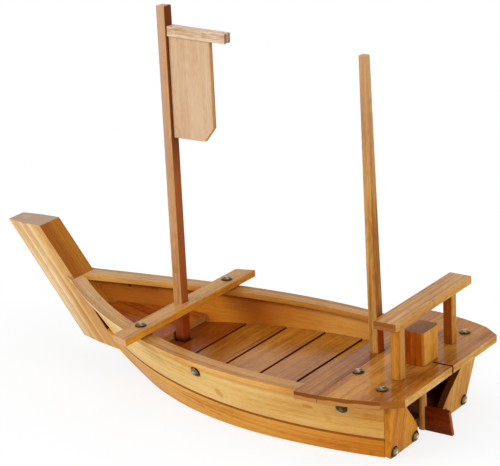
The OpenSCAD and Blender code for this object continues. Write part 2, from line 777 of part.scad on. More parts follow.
stem_post();
port_lower_strake();
starboard_lower_strake();
port_upper_strake();
starboard_upper_strake();
port_rail();
starboard_rail();
bottom_board();
port_floor_bearer();
starboard_floor_bearer();
floor_slat_1();
floor_slat_2();
floor_slat_3();
floor_slat_4();
floor_slat_5();
fore_bearer();
fore_platform();
aft_bulkhead();
thwart();
mast_step();
mast();
yard();
flag_board();
deck_beam();
deck_front_board();
deck_aft_board();
port_transom();
starboard_transom();
port_gallows_post();
starboard_gallows_post();
gallows_beam();
rear_mast();
rudder_head();
rudder_stock();
rudder_blade();
brass_tacks();
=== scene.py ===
import math
import bpy
import bmesh
import numpy as np
from mathutils import Matrix, Vector


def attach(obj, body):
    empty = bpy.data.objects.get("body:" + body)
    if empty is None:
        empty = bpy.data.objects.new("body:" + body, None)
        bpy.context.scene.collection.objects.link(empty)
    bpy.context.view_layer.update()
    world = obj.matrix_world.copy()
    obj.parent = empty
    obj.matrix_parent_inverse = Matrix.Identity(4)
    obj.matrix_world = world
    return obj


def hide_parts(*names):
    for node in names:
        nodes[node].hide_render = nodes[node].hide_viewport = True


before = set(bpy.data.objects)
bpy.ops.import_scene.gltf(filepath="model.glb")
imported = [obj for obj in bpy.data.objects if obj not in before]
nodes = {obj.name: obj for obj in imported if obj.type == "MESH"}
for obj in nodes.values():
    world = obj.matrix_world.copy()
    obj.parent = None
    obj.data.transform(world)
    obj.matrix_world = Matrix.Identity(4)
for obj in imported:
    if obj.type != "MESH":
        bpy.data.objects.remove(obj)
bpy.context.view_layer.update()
scene = bpy.context.scene
scene.view_settings.view_transform = "Standard"
print("frame loaded:", len(nodes), "nodes")

# camera at the photograph's place, in metres and degrees, with lens and sensor in millimetres
shot = {"place": (0.999, -1.3762, 0.7218), "turn": 34.93, "dip": 18.53, "roll": -2.72, "lens": 138.3,
        "sensor": 36.0}


def setCamera():
    turn, dip, roll = (math.radians(shot[k]) for k in ("turn", "dip", "roll"))
    level = np.array([math.cos(turn), math.sin(turn), 0.0])
    look = np.array([-math.sin(turn) * math.cos(dip), math.cos(turn) * math.cos(dip), -math.sin(dip)])
    above = np.cross(level, look)
    right = math.cos(roll) * level + math.sin(roll) * above
    up = math.cos(roll) * above - math.sin(roll) * level
    data = bpy.data.cameras.new("tableCamera")
    data.lens, data.sensor_width, data.sensor_fit = shot["lens"], shot["sensor"], "HORIZONTAL"
    camera = bpy.data.objects.new("tableCamera", data)
    scene.collection.objects.link(camera)
    columns = np.column_stack([right, up, -look, shot["place"]])
    camera.matrix_world = Matrix(np.vstack([columns, [0, 0, 0, 1]]).tolist())
    scene.camera = camera


setCamera()
print("camera set")


# the node tree that is being built, for the helpers below
bench = {}


# a value may be a number or another node's socket
def feed(socket, value):
    if isinstance(value, bpy.types.NodeSocket):
        bench["tree"].links.new(value, socket)
    else:
        socket.default_value = value


# new node with its settings, fed in the order of its sockets and then by their names
def add(kind, *values, named={}, **settings):
    node = bench["tree"].nodes.new("ShaderNode" + kind)
    for key, value in settings.items():
        setattr(node, key, value)
    for socket, value in zip(node.inputs, values):
        feed(socket, value)
    for key, value in named.items():
        feed(node.inputs[key], value)
    return node


def calc(operation, *values, clamp=False):
    return add("Math", *values, operation=operation, use_clamp=clamp).outputs[0]


def times(value, *others):
    for other in others:
        value = calc("MULTIPLY", value, other)
    return value


# start plus each value times its share
def weigh(start, *pairs):
    for value, share in pairs:
        start = calc("MULTIPLY_ADD", value, share, start)
    return start


def vectorCalc(operation, *values):
    outputs = add("VectorMath", *values, operation=operation).outputs
    return outputs[1 if operation in ("LENGTH", "DOT_PRODUCT") else 0]


# smooth step from 0 at start to 1 at end, which may be the lower of the two
def ease(value, start, end):
    return add("MapRange", value, start, end, 0.0, 1.0, interpolation_type="SMOOTHSTEP").outputs[0]


def mixColor(factor, first, second, blend="MIX"):
    node = add("Mix", factor, data_type="RGBA", blend_type=blend)
    feed(node.inputs[6], first)
    feed(node.inputs[7], second)
    return node.outputs[2]


def noise(vector, stretch, detail):
    place = vectorCalc("MULTIPLY", vector, stretch)
    return add("TexNoise", place, named={"Scale": 1.0, "Detail": detail}).outputs[0]


def parts(vector):
    return add("SeparateXYZ", vector).outputs


def startTree(owner):
    owner.use_nodes = True
    owner.node_tree.nodes.clear()
    bench["tree"] = owner.node_tree
    return owner


def openGroup(name, inputs, outputs):
    tree = bpy.data.node_groups.new(name, "ShaderNodeTree")
    kinds = {"f": "NodeSocketFloat", "v": "NodeSocketVector", "c": "NodeSocketColor"}
    for way, sockets in (("INPUT", inputs), ("OUTPUT", outputs)):
        for label, kind in sockets.items():
            tree.interface.new_socket(name=label, in_out=way, socket_type=kinds[kind])
    bench["tree"] = tree
    return tree, tree.nodes.new("NodeGroupInput").outputs, tree.nodes.new("NodeGroupOutput").inputs


def tone(red, green, blue):  # screen colour, 0 to 255, as linear light
    c = np.array([red, green, blue]) / 255.0
    return tuple(np.where(c <= 0.04045, c / 12.92, ((c + 0.055) / 1.055) ** 2.4).tolist()) + (1.0,)


# laminated bamboo: X of the vector runs along the grain, Y across the strips and Z through the layers
grainSizes = ("Strip", "Layer", "Spacing", "Strips", "Streaks", "Clouds", "Dashes", "Knuckles", "Seams")
grainColors = ("Pale", "Body", "Dark", "End")
# each pattern's stretch along the three axes, and its detail
patterns = {"streak": ((5.0, 300.0, 300.0), 3.0), "fibre": ((22.0, 1500.0, 1500.0), 2.0),
            "cloud": ((12.0, 42.0, 42.0), 2.5), "dash": ((120.0, 800.0, 800.0), 1.5),
            "pore": ((900.0, 1300.0, 1300.0), 2.0)}
# bounds of the masks, shares of the colours, and what each pattern adds to roughness and height
growth = {"streakGain": 2.2, "knuckle": (0.0042, 0.0008), "knuckleChance": 0.45,
          "glueLine": (0.0006, 0.0001), "glueShare": 0.45, "glueColor": (0.02, 0.006, 0.001, 1.0),
          "sawn": (0.6, 0.9), "pores": (0.42, 0.7), "poreShare": 0.4, "sawnShare": 0.3, "rough": 0.25,
          "fibreRough": 0.16, "cloudRough": 0.14, "streakRise": 0.5, "fibreRise": 0.5, "lineRise": -0.7,
          "knuckleRise": 0.5}


def makeGrain():
    inputs = {"Vector": "v", "Normal": "v"}
    inputs.update(dict.fromkeys(grainSizes, "f"), **dict.fromkeys(grainColors, "c"))
    tree, get, put = openGroup("bambooGrain", inputs, {"Color": "c", "Roughness": "f", "Height": "f"})
    length, width, depth = parts(get["Vector"])
    stripAt = calc("DIVIDE", width, get["Strip"])
    layerAt = calc("DIVIDE", depth, get["Layer"])
    cell = add("CombineXYZ", calc("FLOOR", stripAt), calc("FLOOR", layerAt))
    chance = add("TexWhiteNoise", cell.outputs[0])
    shift, lot, rank = add("SeparateColor", chance.outputs["Color"]).outputs
    streak, fibre, cloud, dash, pore = (noise(get["Vector"], *p) for p in patterns.values())
    # each strip has its own tone, long streaks, fine fibres, broad clouds and short dashes
    spread = times(get["Streaks"], growth["streakGain"])
    shares = ((lot, get["Strips"]), (streak, spread), (fibre, get["Streaks"]), (cloud, get["Clouds"]),
              (dash, get["Dashes"]))
    level = weigh(0.5, *((calc("SUBTRACT", pattern, 0.5), share) for pattern, share in shares))
    lower = calc("MULTIPLY", level, 2.0, clamp=True)
    upper = calc("MULTIPLY_ADD", level, 2.0, -1.0, clamp=True)
    color = mixColor(upper, mixColor(lower, get["Dark"], get["Body"]), get["Pale"])
    # a knuckle is a short dark band across one strip, at a chance place along it
    bandAt = calc("FRACT", calc("ADD", calc("DIVIDE", length, get["Spacing"]), shift))
    off = calc("ABSOLUTE", calc("SUBTRACT", bandAt, 0.5))
    near = ease(times(off, get["Spacing"]), *growth["knuckle"])
    few = calc("GREATER_THAN", rank, growth["knuckleChance"])
    knuckle = times(near, few, get["Knuckles"])
    color = mixColor(knuckle, color, get["Dark"])
    # glue lines between strips
    side = calc("FRACT", stripAt)
    side = calc("MINIMUM", side, calc("SUBTRACT", 1.0, side))
    line = times(ease(times(side, get["Strip"]), *growth["glueLine"]), get["Seams"])
    color = mixColor(line, color, mixColor(growth["glueShare"], get["Dark"], growth["glueColor"]))
    # sawn ends show dotted pores
    sawn = ease(calc("ABSOLUTE", parts(get["Normal"])[0]), *growth["sawn"])
    dots = times(ease(pore, *growth["pores"]), growth["poreShare"])
    end = mixColor(growth["sawnShare"], mixColor(dots, get["End"], get["Dark"]), color)
    feed(put["Color"], mixColor(sawn, color, end))
    rough = weigh(growth["rough"], (fibre, growth["fibreRough"]), (cloud, growth["cloudRough"]))
    feed(put["Roughness"], rough)
    height = weigh(0.0, (fibre, growth["fibreRise"]), (streak, growth["streakRise"]),
                   (line, growth["lineRise"]), (knuckle, growth["knuckleRise"]))
    feed(put["Height"], height)
    return tree


# soft spot of one size round one place, for marks on a board
spotEdge = (1.1, 0.7)


def makeSpot():
    tree, get, put = openGroup("boardSpot", {"Vector": "v", "Place": "v", "Size": "v"}, {"Mask": "f"})
    away = vectorCalc("DIVIDE", vectorCalc("SUBTRACT", get["Vector"], get["Place"]), get["Size"])
    feed(put["Mask"], ease(vectorCalc("LENGTH", away), *spotEdge))
    return tree


grain = makeGrain()
spot = makeSpot()

# finish shared by all boards; each board changes what differs
plainLook = {
    "way": "x", "shift": 0.0, "start": 0.0013, "strip": 0.0065, "layer": 0.03, "spacing": 0.19,
    "strips": 0.45, "streaks": 0.6, "clouds": 1.1, "dashes": 0.85, "knuckles": 0.5, "seams": 0.25,
    "pale": (230, 190, 124), "body": (216, 168, 98), "dark": (184, 122, 56), "end": (170, 108, 52),
    "ior": 1.1, "coat": 0.34, "sideCoat": 0.08, "coatRough": 0.2, "bump": 0.05, "relief": 0.0004,
}
turns = {"x": (0, 0, 0), "y": (0, 0, -90), "z": (0, 90, 0), "stem": (0, 128.5, 0), "transom": (0, 82, 0)}
# directions: X runs along a board in its own map, and aft on Object coordinates
along, across, upward = (1, 0, 0), (0, 1, 0), (0, 0, 1)
toBow, toPort = (-1, 0, 0), (0, -1, 0)
wobble = {"stretch": (90.0, 4.0, 4.0), "detail": 1.0, "gain": 0.0022}


# mask: "at" is how far a point lies along a direction, "uneven" the same with a wobble, "faces" how far
# a face looks that way and "ends" the same both ways, from 0 at start to 1 at end;
# "spot" has a place and a size
def maskOf(own, normal, kind, way, start=0.6, end=0.85):
    if kind == "spot":
        return add("Group", own, way, start, node_tree=spot).outputs["Mask"]
    reach = vectorCalc("DOT_PRODUCT", own if kind in ("at", "uneven") else normal, way)
    if kind == "uneven":
        reach = weigh(reach, (noise(own, wobble["stretch"], wobble["detail"]), wobble["gain"]))
    if kind == "ends":
        reach = calc("ABSOLUTE", reach)
    return ease(reach, start, end)


# coat of colour: its strength, the colour it is worked over, the colour it gives and the masks it lies in;
# worked over a colour it is a stain that lets the grain show, and over none it covers
def workIn(color, own, normal, body, amount, over, shade, *masks):
    share = times(amount, *(maskOf(own, normal, *mask) for mask in masks))
    if not over:
        return mixColor(share, color, tone(*shade))
    stain = np.array(tone(*shade)) / np.array(tone(*(body if over == "body" else over)))
    return mixColor(share, color, tuple(stain.tolist()), "MULTIPLY")


def joinShader(height, bump, relief, values):
    rough = add("Bump", named={"Strength": bump, "Distance": relief, "Height": height})
    shader = add("BsdfPrincipled", named=dict(values, Normal=rough.outputs[0]))
    add("OutputMaterial", shader.outputs[0])


def bamboo(name, coats=(), **changes):
    look = dict(plainLook, **changes)
    material = startTree(bpy.data.materials.new(name))
    coords = add("TexCoord").outputs
    normal = coords["Normal"]
    values = {key: look[key.lower()] for key in grainSizes}
    values.update({key: tone(*look[key.lower()]) for key in grainColors})
    if look["way"] == "uv":
        own = values["Vector"] = add("UVMap", uv_map="grain").outputs[0]
    else:
        own = coords["Object"]
        turn = [math.radians(t) for t in turns[look["way"]]]
        shift = (look["shift"], look["start"], 0.0)
        values["Vector"] = add("Mapping", own, shift, turn, vector_type="POINT").outputs[0]
        values["Normal"] = add("Mapping", normal, (0, 0, 0), turn, vector_type="VECTOR").outputs[0]
    wood = add("Group", node_tree=grain, named=values).outputs
    color = wood["Color"]
    for coat in coats:
        color = workIn(color, own, normal, look["body"], *coat)
    # lacquer lies thicker on level faces than on upright ones
    level = maskOf(own, normal, "faces", upward)
    lacquer = weigh(look["sideCoat"], (level, look["coat"] - look["sideCoat"]))
    joinShader(wood["Height"], look["bump"], look["relief"],
               {"Base Color": color, "Roughness": wood["Roughness"], "IOR": look["ior"],
                "Coat Weight": lacquer, "Coat Roughness": look["coatRough"]})
    return material


print("finishes ready")

# sizes from here on are in millimetres, and become metres in the mesh; angles are in degrees
mm = 0.001
sides = ((-1, "port"), (1, "starboard"))
edges = {"sharp": 36.0, "bevel": 32.0, "segments": 3, "cornerSteps": 5, "cornerShare": 0.45}


# one mesh at the origin; its sharp edges are eased by a small bevel where a width is given
def addPiece(name, shape, finish, body, node, width=0.0):
    points, faces, uv = shape
    mesh = bpy.data.meshes.new(name)
    mesh.from_pydata((np.asarray(points) * mm).tolist(), [], faces)
    if uv is not None:
        mesh.uv_layers.new(name="grain").data.foreach_set("uv", np.asarray(uv, np.float32).ravel())
    work = bmesh.new()
    work.from_mesh(mesh)
    bmesh.ops.recalc_face_normals(work, faces=work.faces)
    work.to_mesh(mesh)
    work.free()
    mesh.polygons.foreach_set("use_smooth", np.ones(len(mesh.polygons), bool))
    mesh.set_sharp_from_angle(angle=math.radians(edges["sharp"]))
    piece = bpy.data.objects.new(name, mesh)
    scene.collection.objects.link(piece)
    mesh.materials.append(finish)
    if width:
        bevel = piece.modifiers.new("eased", "BEVEL")
        bevel.width, bevel.segments, bevel.limit_method = width * mm, edges["segments"], "ANGLE"
        bevel.angle_limit = math.radians(edges["bevel"])
        bevel.use_clamp_overlap = False
        bevel.harden_normals = True
    else:
        piece.modifiers.new("evenShade", "WEIGHTED_NORMAL").keep_sharp = True
    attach(piece, body)
    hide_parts(node)


# a CAD node that keeps its shape and gets a finish
def refinish(node, finish):
    nodes[node].data.materials.clear()
    nodes[node].data.materials.append(finish)


# bar: point j of ring i is joined to point j of ring i + 1 and to the next point of both, and each end
# ring is one face; its map has lengths along it and widths round it
def loft(rings, lengths=None, widths=None):
    count, size = rings.shape[:2]
    i, j = (a.ravel() for a in np.meshgrid(np.arange(count - 1), np.arange(size), indexing="ij"))
    k = (j + 1) % size
    quads = np.column_stack([i * size + j, (i + 1) * size + j, (i + 1) * size + k, i * size + k])
    ends = np.arange(size)
    faces = quads.tolist() + [ends.tolist(), (ends + (count - 1) * size).tolist()]
    uv = None
    if lengths is not None:
        around = np.column_stack([widths[i, j], widths[i + 1, j], widths[i + 1, j + 1], widths[i, j + 1]])
        onward = np.column_stack([lengths[i], lengths[i + 1], lengths[i + 1], lengths[i]])
        caps = [np.column_stack([np.full(size, lengths[e]), widths[e, :size]]) for e in (0, -1)]
        uv = np.concatenate([np.stack([onward, around], -1).reshape(-1, 2), *caps]) * mm
    return rings.reshape(-1, 3), faces, uv


# bar of one section, scaled to a size at each level
def tapered(section, levels):
    flat = np.asarray(section, float)
    return loft(np.stack([np.column_stack([flat * size, np.full(len(flat), z)]) for z, size in levels]))


# board: the outline is copied at two levels, and each of its edges becomes one side face
def prism(outline, low, high, plane="xy"):
    points, faces, uv = tapered(outline, ((low, 1), (high, 1)))
    return points[:, {"xy": [0, 1, 2], "xz": [0, 2, 1], "yz": [2, 0, 1]}[plane]], faces, uv


# each corner of a ring becomes a short curve between points set back from it along its two edges
def easeCorners(corners, radius):
    setBack = []
    for edge in (np.roll(corners, 1, 1) - corners, np.roll(corners, -1, 1) - corners):
        size = np.linalg.norm(edge, axis=-1, keepdims=True)
        setBack.append(corners + edge / size * np.minimum(radius, edges["cornerShare"] * size))
    t = np.linspace(0, 1, edges["cornerSteps"])[:, None]
    start, end = (s[:, :, None, :] for s in setBack)
    curve = (1 - t) ** 2 * start + 2 * t * (1 - t) * corners[:, :, None, :] + t ** 2 * end
    return curve.reshape(len(corners), -1, 3)


# bar with eased corners; widths are counted from the middle of the corner named as zero, and lengths
# along that line
def easedBar(corners, radius, zeroCorner):
    rings = easeCorners(corners, radius)
    zero = zeroCorner * edges["cornerSteps"] + edges["cornerSteps"] // 2
    steps = np.linalg.norm(np.diff(rings[:, zero], axis=0), axis=1)
    lengths = np.concatenate([[0], np.cumsum(steps)])
    steps = np.linalg.norm(np.roll(rings, -1, 1) - rings, axis=-1)
    widths = np.concatenate([np.zeros((len(rings), 1)), np.cumsum(steps, 1)], 1)
    return loft(rings, lengths, widths - widths[:, zero:zero + 1])


def mirrored(points, side):
    return points * np.array([1, side, 1])


# points turned about the Y axis, then moved
def turnY(points, degrees, shift):
    c, s = math.cos(math.radians(degrees)), math.sin(math.radians(degrees))
    return np.asarray(points) @ np.array([[c, 0, -s], [0, 1, 0], [s, 0, c]]) + np.asarray(shift)


def moved(shape, degrees, shift, side=1):
    return turnY(mirrored(shape[0], side), degrees, shift), *shape[1:]


# sections of upright bars: the corners of an oblong, and points round a circle of radius 1
def square(x, y, a, b):
    return [(x - a, y - b), (x + a, y - b), (x + a, y + b), (x - a, y + b)]


def circle(count):
    turn = np.linspace(0, 2 * math.pi, count, endpoint=False)
    return np.column_stack([np.cos(turn), np.sin(turn)])


# smooth share from 0 to 1 as t * t * (3 - 2 * t)
def smooth(t):
    return t ** 2 * (3 - 2 * t)


# the hull's form: straight rulings between an arc along the bottom and an arc along the rails
form = {
    "tip": -248.0, "aft": 248.0, "stemDepth": 43.5, "stemTop": 135.0, "stemRake": 38.5, "sternOver": 25.0,
    "transom": 6.5, "transomRake": 8.0, "railTop": 60.0, "sheerRise": 25.5, "sheerEven": 13.0,
    "deckFront": 153.5, "widest": 90.0, "sheer": (19.0, 97.5, 81.0), "base": (7.0, 77.5, 67.5),
    "heel": 20.0, "footLength": 22.0, "footSpread": 8.0, "lowerAft": 20.0, "lowerRise": 19.0,
    "thick": 7.0, "glue": 0.1, "side": 0.35, "footSteps": 16, "steps": 130, "rounds": 8,
}
stemRake, transomRake = math.radians(form["stemRake"]), math.radians(form["transomRake"])


# stem's back face at height z
def foreX(z):
    return form["tip"] + form["stemDepth"] + (form["stemTop"] - z) * math.tan(stemRake) + form["glue"]


# transom's inner face at height z
def aftX(z):
    thick = form["transom"] / math.cos(transomRake)
    return form["aft"] - form["sternOver"] - thick + z * math.tan(transomRake) - form["glue"]


sheerEnds = (foreX(form["railTop"] + form["sheerRise"]), aftX(form["railTop"]))
baseEnds = (foreX(0), aftX(0))


# u is 0 at the fore end of an arc and 1 at its aft end, evenly along X
def sheerU(x):
    return (x - sheerEnds[0]) / (sheerEnds[1] - sheerEnds[0])


def sheerX(u):
    return sheerEnds[0] + (sheerEnds[1] - sheerEnds[0]) * u


def baseX(u):
    return baseEnds[0] + (baseEnds[1] - baseEnds[0]) * u


flatU, widestU = sheerU(form["deckFront"]), sheerU(form["widest"])
footU = form["footLength"] / (baseEnds[1] - baseEnds[0])


# height of the rail's top: level under the deck, rising evenly forward, and by the fourth power near
# the stem
def sheerZ(u):
    w = np.maximum(0, 1 - u / flatU)
    return form["railTop"] + form["sheerEven"] * w + (form["sheerRise"] - form["sheerEven"]) * w ** 4


# share of the rounded forefoot: 1 at the stem, falling as a square to 0 at its end
def foot(u):
    return np.maximum(0, 1 - u / footU) ** 2


# half breadth of a circle arc that is widest at one place and has a given half breadth at each end,
# and the arc's length for each step along X
def arc(u, x, ends, breadths, middle):
    endX, endY = (np.where(u < widestU, e[0], e[1]) for e in (ends, (breadths[0], breadths[2])))
    rise = breadths[1] - endY
    radius = ((endX - middle) ** 2 + rise ** 2) / (2 * rise)
    root = np.sqrt(radius ** 2 - (x - middle) ** 2)
    return breadths[1] - radius + root, radius / root


def sheerArc(u):
    return arc(u, sheerX(u), sheerEnds, form["sheer"], form["widest"])


def baseArc(u):
    y, k = arc(u, baseX(u), baseEnds, form["base"], baseX(widestU))
    return y + form["footSpread"] * foot(u), k


# point of the side on ruling u at height z, and depth d behind the outer face
def sidePoint(u, z, d):
    t = z / sheerZ(u)
    (topY, topK), (lowY, lowK) = sheerArc(u), baseArc(u)
    x = baseX(u) + (sheerX(u) - baseX(u)) * t
    y = (lowY - d * lowK) * (1 - t) + (topY - d * topK) * t
    return np.stack(np.broadcast_arrays(x, np.maximum(form["glue"], y), z), -1)


# ruling that passes x at height z, found in a few rounds because the sheer's height depends on it
def sideU(x, z):
    u = np.full(np.shape(x), 0.5)
    for _ in range(form["rounds"]):
        t = z / sheerZ(u)
        x0, x1 = (baseEnds[e] + (sheerEnds[e] - baseEnds[e]) * t for e in (0, 1))
        u = (x - x0) / (x1 - x0)
    return u


# half breadth inside the boards, less the fit
def innerY(x, z):
    return sidePoint(sideU(x, z), z, form["thick"])[..., 1] - form["side"]


# top of the lower board: rises forward as a square
def lowerZ(u):
    return form["lowerAft"] + form["lowerRise"] * (1 - u) ** 2


stations = np.concatenate([np.linspace(0, footU, form["footSteps"], endpoint=False),
                           np.linspace(footU, 1, form["steps"])])

# side boards; their coats lie along and across each board's own map, in metres
plank = {"groove": 2.1, "lip": 1.2, "depth": 0.6, "ease": 0.3, "tuck": 5.8, "tuckEnds": (0.07, 0.095),
         "tuckFore": 0.75}
rail = {"thick": 5.3, "wide": 16.5, "wedge": 8.0, "over": 1.0, "stem": 15.6, "ease": 0.6, "start": 0.06}
innerFace = ("at", across, 0.003, 0.005)
innerShade = (200, 124, 34)
upperCoats = [
    (1.0, "body", (210, 156, 76), ("at", along, 0.16, 0.44)),
    (0.7, "body", (212, 160, 84), ("at", across, -0.0056, -0.0042)),
    (1.0, (216, 170, 92), innerShade, innerFace),
    # painted shade of the thwart on the inside face
    (0.9, innerShade, (168, 86, 10), innerFace, ("at", along, 0.115, 0.165), ("at", along, 0.205, 0.155)),
    (1.0, innerShade, (222, 162, 72), innerFace, ("at", along, 0.19, 0.27)),
    # painted shade on the inside face towards the bow
    (0.85, innerShade, (170, 91, 17), innerFace, ("at", along, 0.13, 0.03)),
    # painted shade inside the slit beside the stem, wider towards the foot
    (0.95, None, (104, 42, 12), ("at", (1, 0.1, 0), -0.0008, -0.0014), ("at", across, -0.008, -0.012)),
    # knots, a nail hole and the stain beside it
    (0.5, None, (188, 116, 40), ("spot", (0.2228, -0.0265, 0), (0.0046, 0.0058, 1))),
    (0.6, None, (184, 106, 32), ("spot", (0.3287, -0.0116, 0), (0.0062, 0.0026, 1))),
    (0.9, None, (60, 24, 6), ("spot", (0.033, 0.0134, 0), (0.0018, 0.0013, 1))),
    (0.45, None, (146, 78, 14), ("spot", (0.058, 0.0142, 0), (0.004, 0.003, 1))),
]
lowerCoats = [
    (1.0, "body", (194, 112, 18), ("at", along, 0.13, 0.44)),
    # painted shade in the groove along the board's top edge, fading out at the bow
    (0.9, None, (140, 72, 20), ("at", across, -0.0001, 0.0002), ("at", along, 0.03, 0.045)),
    (1.0, "body", (176, 98, 16), ("at", across, 0.006, 0.0075)),
]
outerFace = ("at", across, 0.0, -0.0006)
outerShade = (224, 178, 104)
railCoats = [
    (1.0, "body", outerShade, outerFace),
    (0.9, outerShade, (202, 134, 44), outerFace, ("at", along, 0.05, 0.4)),
    (0.9, outerShade, (200, 150, 84), outerFace, ("at", along, 0.12, 0.04)),
    (0.8, "body", (192, 152, 100), ("at", along, 0.16, 0.04)),
    (1.0, "body", (196, 128, 46), ("at", across, 0.0163, 0.0169)),
]


def railLow(u):
    return sheerZ(u) - rail["thick"]


# inner and outer half breadth of the rail
def railBreadth(u):
    y, k = sheerArc(u)
    return np.maximum(form["glue"], y + rail["over"] - rail["wide"] * k), y + rail["over"]


def addSideBoards():
    upperFinish = bamboo("upperPlankLacquer", upperCoats, way="uv", strip=0.0085, strips=0.3,
                         streaks=0.45, knuckles=0.2, seams=0.1, pale=(238, 206, 140),
                         body=(226, 188, 114), dark=(204, 150, 68))
    lowerFinish = bamboo("lowerPlankLacquer", lowerCoats, way="uv", strip=0.0062, strips=0.35,
                         streaks=0.6, knuckles=0.3, seams=0.2, pale=(230, 178, 88),
                         body=(218, 158, 64), dark=(186, 110, 26))
    # corners of each board, as height and depth
    u, d, thick = stations, plank["depth"], form["thick"]
    low, high = form["heel"] * foot(u), lowerZ(u)
    lower = ((low, 0), (high - plank["groove"], 0), (high, d), (high, thick), (low, thick))
    # the upper board's lower edge tucks in behind the stem's corner, which leaves a slit there
    low, high = lowerZ(u) + form["glue"], railLow(u) - form["glue"]
    start, end = plank["tuckEnds"]
    share = plank["tuckFore"] + (1 - plank["tuckFore"]) * np.clip(u / start, 0, 1)
    tuck = plank["tuck"] * smooth(np.clip((end - u) / (end - start), 0, 1)) * share
    upper = ((low, tuck + d), (low + plank["lip"], tuck), (high, 0), (high, thick), (low, thick))
    lower, upper = (np.stack([sidePoint(u, *corner) for corner in board], 1) for board in (lower, upper))
    for side, word in sides:
        shape = easedBar(mirrored(lower, side), plank["ease"], 1)
        addPiece(word + "LowerPlank", shape, lowerFinish, "hull", word + "_lower_strake")
        shape = easedBar(mirrored(upper, side), plank["ease"], 2)
        addPiece(word + "UpperPlank", shape, upperFinish, "hull", word + "_upper_strake")


def addRails():
    # the fore end runs on beside the stem as a wedge
    ends = np.array([-rail["wedge"], -rail["start"]]) / (sheerEnds[1] - sheerEnds[0])
    u = np.concatenate([ends, stations])
    inner, outer = railBreadth(u)
    inner[:2] = rail["stem"]
    outer[:2] = max(rail["stem"] + rail["over"], outer[0]), railBreadth(np.zeros(1))[1][0]
    low, high = railLow(u), sheerZ(u)
    lowX, highX = sidePoint(u, low, 0)[:, 0], sheerX(u)
    section = ((lowX, outer, low), (highX, outer, high), (highX, inner, high), (lowX, inner, low))
    corners = np.stack([np.column_stack(c) for c in section], 1)
    finish = bamboo("railLacquer", railCoats, way="uv", strip=0.0055, strips=0.3, streaks=0.45,
                    knuckles=0.25, seams=0.15, pale=(198, 150, 88), body=(182, 128, 62),
                    dark=(152, 92, 34))
    for side, word in sides:
        shape = easedBar(mirrored(corners, side), rail["ease"], 1)
        addPiece(word + "RailCap", shape, finish, "hull", word + "_rail")


addSideBoards()
addRails()
print("side boards and rails built")

# stem post: six lines along the rake, cut level at the top and on a slope at the heel
stem = {"front": 23.0, "ridge": 29.5, "back": 31.0, "ridgeX": 20.0, "heelSlope": 6.5, "ease": 0.7}
stemBack = ("faces", along, 0.5, 0.75)
stemCoats = [
    (1.0, "body", (226, 192, 144), ("faces", toBow, 0.06, 0.11)),
    # the back face is darker: a deeper tone of its own and painted shade, as it faces away from the lamps
    (1.0, "body", (168, 100, 26), stemBack),
    # painted shade on the back face below the rail, in the slit and inside the bow
    (0.85, None, (70, 28, 8), stemBack, ("at", upward, 0.06, 0.054)),
    (0.75, None, (158, 130, 110), ("faces", upward)),
    (0.4, None, (196, 168, 144), ("spot", (-0.2362, 0.002, 0.135), (0.0052, 0.0052, 0.01))),
]


def addStem():
    c, s = math.cos(stemRake), math.sin(stemRake)
    ridge, depth = stem["ridgeX"], form["stemDepth"]
    x = np.array([0, ridge, depth, depth, ridge, 0]) * c
    half = np.array([stem["front"], stem["ridge"], stem["back"]]) / 2
    y = np.concatenate([-half, half[::-1]])
    start = np.column_stack([form["tip"] + x * c, y, form["stemTop"] + x * s])
    way = np.array([-s, 0, c])
    slope = math.tan(math.radians(stem["heelSlope"]))
    top = start + way * ((form["stemTop"] - start[:, 2]) / way[2])[:, None]
    over = form["heel"] - slope * (start[:, 0] - foreX(form["heel"])) - start[:, 2]
    low = start + way * (over / (way[2] + slope * way[0]))[:, None]
    finish = bamboo("stemLacquer", stemCoats, way="stem", strip=0.06, layer=0.0047, strips=0.6,
                    streaks=0.8, knuckles=0.25, seams=0.3, pale=(226, 184, 124), body=(208, 160, 100),
                    dark=(190, 136, 74), end=(176, 138, 104))
    addPiece("stemPost", loft(np.stack([low, top])), finish, "hull", "stem_post", stem["ease"])


addStem()
print("stem built")

# floor: boards across the boat, whose ends follow the inside of the hull, and a sloping board in the bow
slats = {"numbers": "2345", "top": 38.0, "thick": 6.0, "wide": 38.2, "gap": 2.6, "first": -16.9,
         "last": 153.5, "ease": 0.5, "steps": 24}
bow = {"low": 38.1, "thick": 7.2, "slope": 9.2, "end": 3.0, "aft": -54.85, "ease": 0.6}
# the slats' fore and aft sides are painted dark red as shade in the gaps between them
floorLook = dict(way="y", strip=0.013, strips=0.2, streaks=0.5, clouds=1.3, knuckles=0.2, seams=0.05,
                 coat=0.62, coatRough=0.22, coats=[(0.95, "body", (108, 28, 1), ("ends", along))])
floorShades = dict(pale=(188, 128, 48), body=(166, 102, 26), dark=(130, 64, 8))
firstShades = dict(pale=(156, 84, 20), body=(136, 62, 8), dark=(108, 40, 4))


# board across the boat: at each x both edges end at the hull's inside, and it rises evenly from its aft edge
def crossBoard(fore, aft, low, high, rise=0.0):
    x = np.linspace(fore, aft, slats["steps"])
    low, high = low + rise * (aft - x), high + rise * (aft - x)
    lowY, highY = innerY(x, low), innerY(x, high)
    corners = [(x, lowY, low), (x, highY, high), (x, -highY, high), (x, -lowY, low)]
    return loft(np.stack([np.column_stack(c) for c in corners], 1))


